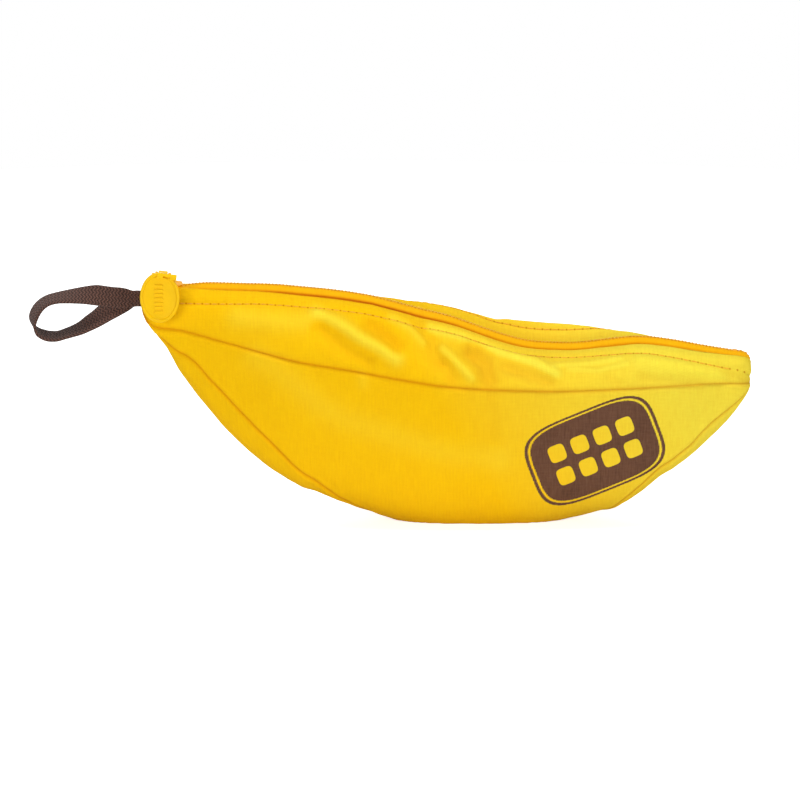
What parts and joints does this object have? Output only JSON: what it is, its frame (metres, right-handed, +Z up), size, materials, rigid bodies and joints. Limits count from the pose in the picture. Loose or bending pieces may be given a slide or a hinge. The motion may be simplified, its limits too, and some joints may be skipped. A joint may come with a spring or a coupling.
{
  "type": "travel word tile game case",
  "caption": "Banana-shaped cotton pouch with a zipper along its top, an oval zip pull and a twisted webbing loop, filled with square letter tiles.",
  "frame": {"origin": "on the resting plane, under the middle of the whole length, wrist loop included, and midway across the pouch", "axes": "+X from the webbing loop and stem end towards the tip, +Y from the front wall with the print towards the back wall, +Z up towards the zipper"},
  "size_m": [0.317, 0.054, 0.1119],
  "materials": {
    "cloth": "woven cotton, matt",
    "tape": "woven zipper tape, matt",
    "zipper": "moulded teeth, satin",
    "slider_metal": "satin enamel",
    "pull": "matt soft plastic",
    "webbing": "herringbone webbing, matt",
    "tile": "satin"
  },
  "bodies": {
    "pouch": {"front_lower_panel": "cloth", "back_lower_panel": "cloth", "stem_end_cap": "cloth", "tip_end_cap": "cloth", "keel_binding": "cloth", "front_seam_binding": "cloth", "back_seam_binding": "cloth", "stem_zip_end": "zipper", "tip_zip_end": "zipper", "zip_top_stops": "slider_metal", "zip_bottom_stop": "slider_metal", "end_seams": "cloth", "webbing_tail": "webbing", "letter_tiles_1": "tile", "letter_tiles_2": "tile", "letter_tiles_3": "tile", "letter_tiles_4": "tile", "letter_tiles_5": "tile", "letter_tiles_6": "tile", "letter_tiles_7": "tile", "letter_tiles_8": "tile", "letter_tiles_9": "tile"},
    "front_lip": {"front_upper_panel": "cloth", "front_zip_tape": "tape", "front_zip_teeth": "zipper"},
    "back_lip": {"back_upper_panel": "cloth", "back_zip_tape": "tape", "back_zip_teeth": "zipper"},
    "slider": {"slider_body": "slider_metal", "slider_bail": "slider_metal"},
    "pull": {"pull_tab": "pull"},
    "loop": {"webbing_loop": "webbing"}
  },
  "joints": [
    {"name": "slider_travel", "type": "slide", "parent": "pouch", "child": "slider", "axis": [0.9932, 0, -0.116], "range_m": [0, 0.235], "deforming": ["front_zip_tape", "back_zip_tape", "front_zip_teeth", "back_zip_teeth"]},
    {"name": "front_lip_open", "type": "hinge", "parent": "pouch", "child": "front_lip", "pos_m": [0.025, -0.027, 0.0622], "axis": [1, 0, 0], "range_deg": [0, 25]},
    {"name": "back_lip_open", "type": "hinge", "parent": "pouch", "child": "back_lip", "pos_m": [0.025, 0.027, 0.0622], "axis": [-1, 0, 0], "range_deg": [0, 25]},
    {"name": "pull_tab_lift", "type": "hinge", "parent": "slider", "child": "pull", "pos_m": [-0.09773, 0, 0.10785], "axis": [-0.9932, 0, 0.116], "range_deg": [0, 120]},
    {"name": "loop_flex", "type": "hinge", "parent": "pouch", "child": "loop", "pos_m": [-0.109, 0, 0.0978], "axis": [0, 1, 0], "range_deg": [-40, 40], "stiffness_Nm_per_rad": 0.012}
  ],
  "couplings": [
    {"joint": "front_lip_open", "follows": "slider_travel", "rad_per_m": 1.8567},
    {"joint": "back_lip_open", "follows": "slider_travel", "rad_per_m": 1.8567},
    {"joint": "pull_tab_lift", "follows": "slider_travel", "rad_per_m": 8.9123}
  ]
}
